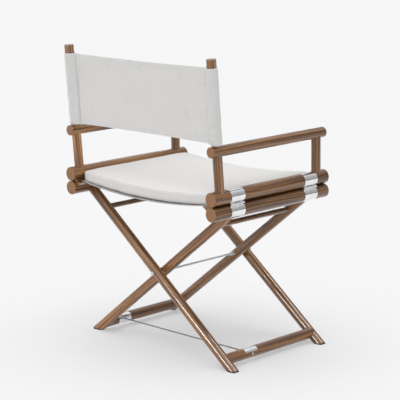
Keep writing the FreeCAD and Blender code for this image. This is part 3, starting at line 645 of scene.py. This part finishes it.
# sleeves: one layer of canvas round each post, closed by a seam whose lips
# hold the panel's end
sleeves = []
stitch_lines = {1: [], -1: []}
for sign, label in ((1, "left"), (-1, "right")):
    r_in = 0.01395
    r_out = r_in + 0.0013
    reach = 0.0225 + 0.0050         # from the post's axis to the lips' free edge
    centre_r = (r_in + r_out) / 2
    outer, inner = [], []
    sew = 0.0225
    tangent = math.acos(centre_r / (sew - 0.001))

    def section(radius, lip, away):
        """Half of the cross-section: from the lips' end round to the outside."""
        pts = []
        for k in range(5):
            pts.append((-(sew + away) + away * k / 4.0, lip))
        pts_end = (-radius * math.cos(tangent), radius * math.sin(tangent))
        for k in range(1, 7):
            f = smooth(k / 7.0) * 0.35 + (k / 7.0) * 0.65
            pts.append((-sew + (pts_end[0] + sew) * f, lip + (pts_end[1] - lip) * (f ** 1.12)))
        for k in range(0, 23):
            ang = tangent + (math.pi - tangent) * k / 22.0
            pts.append((-radius * math.cos(ang), radius * math.sin(ang)))
        return pts

    out_half = section(r_out, half + 0.0003 + 0.0007, 0.005)
    in_half = section(r_in, half + 0.0003, 0.005)
    # the closed loop: outer rear, round, outer front, then inner back again
    loop = [(x, y, True) for x, y in out_half]
    loop += [(x, -y, True) for x, y in reversed(out_half[:-1])]
    loop += [(x, -y, False) for x, y in in_half]
    loop += [(x, y, False) for x, y in reversed(in_half[:-1])]
    steps = 84
    rings = []
    for i in range(steps + 1):
        t = i / steps
        z = BACK_LOW + (BACK_HIGH - BACK_LOW) * t
        c = post(z)
        ring = []
        for j, (x, y, is_out) in enumerate(loop):
            ang = math.atan2(y, x)
            p = Vector((sign * (POST_X + x), c.y, c.z)) + N * y
            body_part = smooth((x + 0.020) / 0.012)
            d = 0.0
            if is_out:
                q = Vector((math.cos(ang) * 2.2, math.sin(ang) * 2.2 + sign * 5, t * 17))
                d = noise.noise(q) * 0.0010
                q2 = Vector((math.cos(ang) * 5, math.sin(ang) * 5 + sign * 9, t * 34))
                d += (0.35 - abs(noise.noise(q2))) * 0.0026
                d = d * (0.35 + 0.65 * body_part)
                # the seam's row sinks
                d -= 0.0002 * math.exp(-((x + sew) / 0.0012) ** 2)
                # soft turned edge at top and bottom
                d -= 0.0006 * (1 - smooth(t / 0.012)) + 0.0006 * (1 - smooth((1 - t) / 0.012))
            wide = Vector((sign * math.cos(ang), 0, 0)) + N * math.sin(ang)
            if x < -0.018:
                wide = N * (1 if y > 0 else -1)
            ring.append(p + wide * d)
        rings.append(ring)
    n = len(loop)
    verts = [p for ring in rings for p in ring]
    faces = []
    for i in range(steps):
        for j in range(n):
            k = (j + 1) % n
            faces.append((i * n + j, i * n + k, (i + 1) * n + k, (i + 1) * n + j))
    # the rims join the outer wall to the inner one
    outer_n = 2 * len(out_half) - 1
    for base, flip in ((0, False), (steps * n, True)):
        for j in range(outer_n - 1):
            a, b = base + j, base + j + 1
            c, dd = base + n - 1 - j, base + n - 2 - j
            f = (a, c, dd, b) if flip else (a, b, dd, c)
            if len(set(f)) == 4:
                faces.append(f)
    sleeve = mesh_object("back_sleeve_" + label, verts, faces, CANVAS)
    bm = bmesh.new()
    bm.from_mesh(sleeve.data)
    bmesh.ops.recalc_face_normals(bm, faces=bm.faces)
    bm.to_mesh(sleeve.data)
    bm.free()
    sleeves.append(sleeve)
    # two rows of stitches on each face, beside the lips' edge
    for face in (1, -1):
        for row in (-sew + 0.0002, -sew - 0.0032):
            pts, nrm = [], []
            for i in range(0, 101):
                t = 0.012 + 0.976 * i / 100
                c = post(BACK_LOW + (BACK_HIGH - BACK_LOW) * t)
                y = half + 0.0015 - 0.0002 * math.exp(-((row + sew) / 0.0012) ** 2)
                pts.append(Vector((sign * (POST_X + row), c.y, c.z)) + N * (face * y))
                nrm.append(N * face)
            stitch_lines[sign].append((pts, nrm))

sleeve_stitches = []
for sign, label in ((1, "left"), (-1, "right")):
    s = stitches("back_stitches_" + label, stitch_lines[sign], None)
    sleeve_stitches.append(s)

# hem stitches along the panel, both faces
lines = []
for face in (1, -1):
    for t in (0.0125 / 0.206 - 0.0015 / 0.206, 1 - 0.0125 / 0.206 + 0.0015 / 0.206):
        pts, nrm = [], []
        for i in range(0, 241):
            x = -SEAM + 0.007 + (2 * SEAM - 0.014) * i / 240
            pts.append(panel_point(x, t, face * (half + hem(t))))
            nrm.append(N * face)
        lines.append((pts, nrm))
hem_stitches = stitches("back_stitches_hem", lines, None)

# ------------------------------------------------------------------ seat pad
W, SAG = 0.2644, 0.0205
ARC = (W * W + SAG * SAG) / (2 * SAG)
Y0, Y1 = -0.2218, 0.2042
PAD = 0.0333                      # pad without the sling under it


def sag(x):
    return 0.500 - SAG + ARC - math.sqrt(ARC * ARC - x * x)


def crown(x, y):
    """The filling's rise over the sagged sling."""
    u = min(1.0, abs(x) / W)
    f = (y - Y0) / (Y1 - Y0)
    long = min(1.0, max(0.0, 1 - abs(2 * f - 1)))
    return 0.0075 * (1 - u ** 3.0) * (smooth(long / 0.32) * 0.75 + 0.25) * (1.0 - 0.25 * f)


def pad_shell(inset, thick, lift):
    """A boxed cushion on the sling: quads on its six sides, corners rounded."""
    nx, ny, nz = 64, 52, 5
    r = 0.010
    verts, index = [], {}
    faces = []

    def vert(i, j, k):
        key = (i, j, k)
        if key not in index:
            u, v, w = i / nx * 2 - 1, j / ny * 2 - 1, k / nz
            x = u * (W - inset)
            y = (Y0 + Y1) / 2 + v * ((Y1 - Y0) / 2 - inset)
            # corners in plan are rounded
            hx, hy = W - inset, (Y1 - Y0) / 2 - inset
            cy = y - (Y0 + Y1) / 2
            dx, dy = abs(x) - (hx - r), abs(cy) - (hy - r)
            if dx > 0 and dy > 0:
                q = math.hypot(dx, dy)
                m = max(dx, dy)
                x = math.copysign(hx - r + dx * m / q, x)
                cy = math.copysign(hy - r + dy * m / q, cy)
                y = (Y0 + Y1) / 2 + cy
            top = sag(x) + crown(x, y) - (0.0333 - thick) * 0.5
            low = sag(x) - PAD + lift
            z = low + (top - low) * w
            index[key] = len(verts)
            verts.append((x, y, z))
        return index[key]

    for i in range(nx):
        for j in range(ny):
            for k in (0, nz):
                f = (vert(i, j, k), vert(i + 1, j, k), vert(i + 1, j + 1, k), vert(i, j + 1, k))
                faces.append(f if k else f[::-1])
    for k in range(nz):
        for i in range(nx):
            for j in (0, ny):
                f = (vert(i, j, k), vert(i + 1, j, k), vert(i + 1, j, k + 1), vert(i, j, k + 1))
                faces.append(f if j == 0 else f[::-1])
        for j in range(ny):
            for i in (0, nx):
                f = (vert(i, j, k), vert(i, j + 1, k), vert(i, j + 1, k + 1), vert(i, j, k + 1))
                faces.append(f[::-1] if i == 0 else f)
    return verts, faces


verts, faces = pad_shell(0.0022, 0.0315, 0.0012)
seat_cushion = mesh_object("seat_cushion", verts, faces, SEAT_CLOTH)
bpy.context.view_layer.objects.active = seat_cushion


def applied(obj):
    """The mesh of obj with its modifiers, as plain data."""
    dg = bpy.context.evaluated_depsgraph_get()
    me = bpy.data.meshes.new_from_object(obj.evaluated_get(dg), depsgraph=dg)
    return me


def swap(obj, me):
    obj.modifiers.clear()
    old = obj.data
    obj.data = me
    if not me.materials:
        me.materials.append(SEAT_CLOTH)
    bpy.data.meshes.remove(old)


rm = seat_cushion.modifiers.new("voxels", "REMESH")
rm.mode = "VOXEL"
rm.voxel_size = 0.0055
rm.use_smooth_shade = True
swap(seat_cushion, applied(seat_cushion))
rest = np.array([v.co for v in seat_cushion.data.vertices])

cl = seat_cushion.modifiers.new("swell", "CLOTH")
st = cl.settings
st.quality = 6
st.mass = 0.25
st.tension_stiffness = 18
st.compression_stiffness = 18
st.shear_stiffness = 8
st.bending_stiffness = 3.0
st.use_pressure = True
st.uniform_pressure_force = 4.0
st.effector_weights.gravity = 0.0
cl.collision_settings.use_collision = False
cl.collision_settings.use_self_collision = False
cl.point_cache.frame_start = 1
cl.point_cache.frame_end = 20
for f in range(1, 21):
    scene.frame_set(f)
swap(seat_cushion, applied(seat_cushion))
scene.frame_set(1)

co = np.array([v.co for v in seat_cushion.data.vertices])
move = co - rest
far = np.linalg.norm(move, axis=1)
print("pad: points", len(co), "moved at most", round(float(far.max()), 4))
cap = 0.0045
co = rest + move * np.minimum(1.0, cap / np.maximum(far, 1e-9))[:, None]


def settle(co):
    """Keeps the swollen pad on its sling, between the rails and in its length."""
    x = np.clip(co[:, 0], -0.2641, 0.2641)
    y = np.clip(co[:, 1], Y0 + 0.0003, Y1 - 0.0003)
    low = 0.500 - SAG + ARC - np.sqrt(ARC * ARC - x * x) - PAD
    z = np.maximum(co[:, 2], np.where(np.abs(x) > 0.2420, np.maximum(low, 0.4665), low))
    # over the battens the lower edge is level
    return np.stack([x, y, z], axis=1)


co = settle(co)
seat_cushion.data.vertices.foreach_set("co", co.astype(np.float32).ravel())
seat_cushion.data.update()
sm = seat_cushion.modifiers.new("even", "CORRECTIVE_SMOOTH")
sm.smooth_type = "SIMPLE"
sm.factor = 0.5
sm.iterations = 3
sm.use_only_smooth = True
seat_cushion.modifiers.remove(sm)
ls = seat_cushion.modifiers.new("even", "SMOOTH")
ls.factor = 0.5
ls.iterations = 4
sd = seat_cushion.modifiers.new("finer", "SUBSURF")
sd.levels = sd.render_levels = 1
swap(seat_cushion, applied(seat_cushion))
me = seat_cushion.data
co = np.array([v.co for v in me.vertices])

# seams: the top and bottom panels meet the boxing in a sunk line with the
# cloth standing up a little on each side of it
no = np.array([v.normal for v in me.vertices])
f = co.copy()
x, y, z = co[:, 0], co[:, 1], co[:, 2]
low = 0.500 - SAG + ARC - np.sqrt(ARC * ARC - x * x) - PAD
edge_in = np.minimum(W - np.abs(x), np.minimum(y - Y0, Y1 - y))
side_share = 1 - np.clip(np.abs(no[:, 2]), 0, 1)
top_of = np.array([sag(a) for a in x])
# height above the sling, as a share of the boxing
h = z - low
for at in (0.0295, 0.0048):
    d = (h - at) / 0.0014
    sunk = np.exp(-d * d) * (edge_in < 0.012) * np.clip(side_share * 1.6, 0, 1)
    stand = (np.exp(-((np.abs(h - at) - 0.0032) / 0.0018) ** 2)) * (edge_in < 0.012) * np.clip(side_share * 1.6, 0, 1)
    f = f - no * (sunk * 0.0005)[:, None] + no * (stand * 0.0001)[:, None]
f = settle(f)
me.vertices.foreach_set("co", f.astype(np.float32).ravel())
me.polygons.foreach_set("use_smooth", [True] * len(me.polygons))
me.update()

# sling under the pad: heavy webbing cloth whose ends go down over the battens; its grey, darker than the pad's cloth,
# is painted shade that draws the dark line under the pad's rear edge
cols, rows = 96, 40
S_Y0, S_Y1 = Y0 + 0.0020, Y1 - 0.0014
S_X = 0.2630
th = 0.0016
ring_t = []


def sling_mid(x):
    low = 0.500 - SAG + ARC - math.sqrt(ARC * ARC - x * x) - PAD - 0.0002
    if abs(x) > 0.2400:
        low = max(low, 0.4662)
    return low - th / 2


loop_params = [(j / rows, 1.0) for j in range(rows + 1)] + [(1.0, k) for k in (0.7, 0.0, -0.7)]
loop_params += [(1 - j / rows, -1.0) for j in range(rows + 1)] + [(0.0, k) for k in (-0.7, 0.0, 0.7)]
rings = []
for i in range(cols + 1):
    x = -S_X + 2 * S_X * i / cols
    ring = []
    for v, k in loop_params:
        y = S_Y0 + (S_Y1 - S_Y0) * v
        if abs(k) < 1:
            y += math.sqrt(1 - k * k) * 0.0009 * (1 if v > 0.5 else -1)
        wave = noise.noise(Vector((x * 9, y * 9, 2.2))) * 0.0005 * (1 - (x / S_X) ** 4)
        ring.append(Vector((x, y, sling_mid(x) + k * th / 2 - abs(wave) * (k < 0.5))))
    rings.append(ring)
seat_sling = loft("seat_sling", rings, SLING_PAINTED_SHADE)

# stitches of the pad's boxing, just below the upper seam, found on the mesh
dg = bpy.context.evaluated_depsgraph_get()
lines = []
inv = seat_cushion.matrix_world.inverted()


def on_pad(origin, direction):
    hit, place, normal, _ = seat_cushion.ray_cast(origin, direction)
    return (place, normal) if hit else None


for face_y, direction in ((0.26, Vector((0, -1, 0))), (-0.28, Vector((0, 1, 0)))):
    for level in (0.0262,):
        pts, nrm = [], []
        for i in range(0, 261):
            x = -0.252 + 0.504 * i / 260
            z = sag(x) - PAD + level
            got = on_pad(Vector((x, face_y, z)), direction)
            if got:
                pts.append(got[0])
                nrm.append(got[1])
        if len(pts) > 10:
            lines.append((pts, nrm))
pad_stitches = stitches("seat_stitches", lines, None, pitch=0.0045, length=0.0031, radius=0.0004, lift=0.0)

# ----------------------------------------------------- riding, and hiding the CAD pieces they replace
for piece in (seat_cushion, pad_stitches, seat_sling):
    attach(piece, "side_left")
    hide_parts("seat_pad")
    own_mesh(piece)

for piece in (back_panel, hem_stitches):
    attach(piece, "side_left")
    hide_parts("back_canvas")
    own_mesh(piece)
for piece, stitch, body in zip(sleeves, sleeve_stitches, ("side_left", "side_right")):
    for p in (piece, stitch):
        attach(p, body)
        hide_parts("back_canvas")

# the cross cable: six strands laid round a core, pulled tight between the
# stretchers
low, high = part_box("cross_cable")
mid = (low + high) / 2
rope_radius = (high.z - low.z) / 2
strand = rope_radius / 3.0
verts, faces = [], []
around, rings_n = 7, 330
for k in range(7):
    lay = 0.0 if k == 6 else 2 * strand
    for i in range(rings_n + 1):
        x = low.x + (high.x - low.x) * i / rings_n
        turn = 2 * math.pi * (x / 0.026 + k / 6.0)
        cy, cz = mid.y + lay * math.cos(turn), mid.z + lay * math.sin(turn)
        for q in range(around):
            t = 2 * math.pi * q / around
            verts.append((x, cy + strand * math.cos(t), cz + strand * math.sin(t)))
    first = k * (rings_n + 1) * around
    for i in range(rings_n):
        for q in range(around):
            a, b = first + i * around + q, first + i * around + (q + 1) % around
            faces.append((a, b, b + around, a + around))
    faces.append([first + q for q in reversed(range(around))])
    faces.append([first + rings_n * around + q for q in range(around)])
cross_wire = mesh_object("cross_wire", verts, faces, ROPE)
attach(cross_wire, "cable")
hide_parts("cross_cable")
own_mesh(cross_wire)

# --------------------------------------------------------------- the studio
bm = bmesh.new()
bmesh.ops.create_circle(bm, cap_ends=True, segments=96, radius=60.0)
me = bpy.data.meshes.new("floor")
bm.to_mesh(me)
bm.free()
floor = bpy.data.objects.new("floor", me)
scene.collection.objects.link(floor)
g = Graph("floor_paint")
fleck = g.noise(g.coord.outputs["Object"], 3.0, 3.0)
g.set(Base_Color=g.mix(fleck, (0.381, 0.381, 0.384), (0.386, 0.386, 0.389)))
g.set(Roughness=g.math("MULTIPLY_ADD", fleck, 0.05, 0.75), Specular_IOR_Level=0.1)
me.materials.append(g.mat)

world = bpy.data.worlds.new("studio")
scene.world = world
world.use_nodes = True
wt = world.node_tree
wt.nodes.clear()
w_out = wt.nodes.new("ShaderNodeOutputWorld")
w_bg = wt.nodes.new("ShaderNodeBackground")
w_plain = wt.nodes.new("ShaderNodeBackground")
w_mix = wt.nodes.new("ShaderNodeMixShader")
w_path = wt.nodes.new("ShaderNodeLightPath")
w_tc = wt.nodes.new("ShaderNodeTexCoord")
w_sep = wt.nodes.new("ShaderNodeSeparateXYZ")
w_ramp = wt.nodes.new("ShaderNodeValToRGB")
wt.links.new(w_tc.outputs["Generated"], w_sep.inputs[0])
wt.links.new(w_sep.outputs["Z"], w_ramp.inputs[0])
stops = [(0.0, 0.02), (0.055, 0.03), (0.085, 0.545), (0.55, 0.63), (0.76, 1.08), (1.0, 1.62)]
e = w_ramp.color_ramp.elements
while len(e) < len(stops):
    e.new(0.5)
for item, (at, v) in zip(e, stops):
    item.position = at
    item.color = (v, v, v * 1.01, 1.0)
# the side towards +Y is lighter than the side towards -Y
w_dot = wt.nodes.new("ShaderNodeVectorMath")
w_dot.operation = "DOT_PRODUCT"
w_dot.inputs[1].default_value = (0.72, 0.69, 0.0)
wt.links.new(w_tc.outputs["Generated"], w_dot.inputs[0])
w_gain = wt.nodes.new("ShaderNodeMath")
w_gain.operation = "MULTIPLY_ADD"
w_gain.inputs[1].default_value = 0.37
w_gain.inputs[2].default_value = 1.0
wt.links.new(w_dot.outputs["Value"], w_gain.inputs[0])
w_scale = wt.nodes.new("ShaderNodeVectorMath")
w_scale.operation = "SCALE"
wt.links.new(w_ramp.outputs[0], w_scale.inputs[0])
wt.links.new(w_gain.outputs[0], w_scale.inputs["Scale"])
wt.links.new(w_scale.outputs[0], w_bg.inputs["Color"])
w_bg.inputs["Strength"].default_value = 1.06
w_plain.inputs["Color"].default_value = (0.92, 0.92, 0.925, 1.0)
wt.links.new(w_path.outputs["Is Camera Ray"], w_mix.inputs[0])
wt.links.new(w_bg.outputs[0], w_mix.inputs[1])
wt.links.new(w_plain.outputs[0], w_mix.inputs[2])
wt.links.new(w_mix.outputs[0], w_out.inputs["Surface"])


sun = bpy.data.lights.new("key", "SUN")
sun.energy = 0.30
sun.angle = math.radians(42)
key = bpy.data.objects.new("key", sun)
key.visible_glossy = False
scene.collection.objects.link(key)
key.rotation_mode = "QUATERNION"
key.rotation_quaternion = Vector((0.62, 0.80, -1.55)).to_track_quat("-Z", "Y")



# a wide fill for the floor alone, so that the chair's shadow stays pale
fill = bpy.data.lights.new("floor_fill", "SUN")
fill.energy = 4.05
fill.angle = math.radians(60)
fill.use_shadow = False
fill_light = bpy.data.objects.new("floor_fill", fill)
scene.collection.objects.link(fill_light)
only_floor = bpy.data.collections.new("only_floor")
only_floor.objects.link(floor)
fill_light.light_linking.receiver_collection = only_floor


def strip(name, place, target, along, size, watts):
    """A long softbox whose length lies along the given direction."""
    data = bpy.data.lights.new(name, "AREA")
    data.shape = "RECTANGLE"
    data.size, data.size_y = size
    data.energy = watts
    o = bpy.data.objects.new(name, data)
    scene.collection.objects.link(o)
    z = (Vector(place) - Vector(target)).normalized()
    x = Vector(along)
    x = (x - z * x.dot(z)).normalized()
    y = z.cross(x)
    o.matrix_world = Matrix(
        ((x.x, y.x, z.x, place[0]), (x.y, y.y, z.y, place[1]), (x.z, y.z, z.z, place[2]), (0, 0, 0, 1))
    )
    # seen in the lacquer only: the dome and the key carry the rest
    o.visible_camera = False
    o.visible_diffuse = False


strip("side_strip", (0.0, 2.71, 1.45), (-0.15, -0.02, 0.11), (0.79, 0.0, 0.614), (0.64, 0.30), 34)
strip("top_strip", (-1.29, -0.85, 3.20), (-0.20, -0.10, 0.11), (1.0, 0.0, 0.0), (0.62, 0.30), 21)
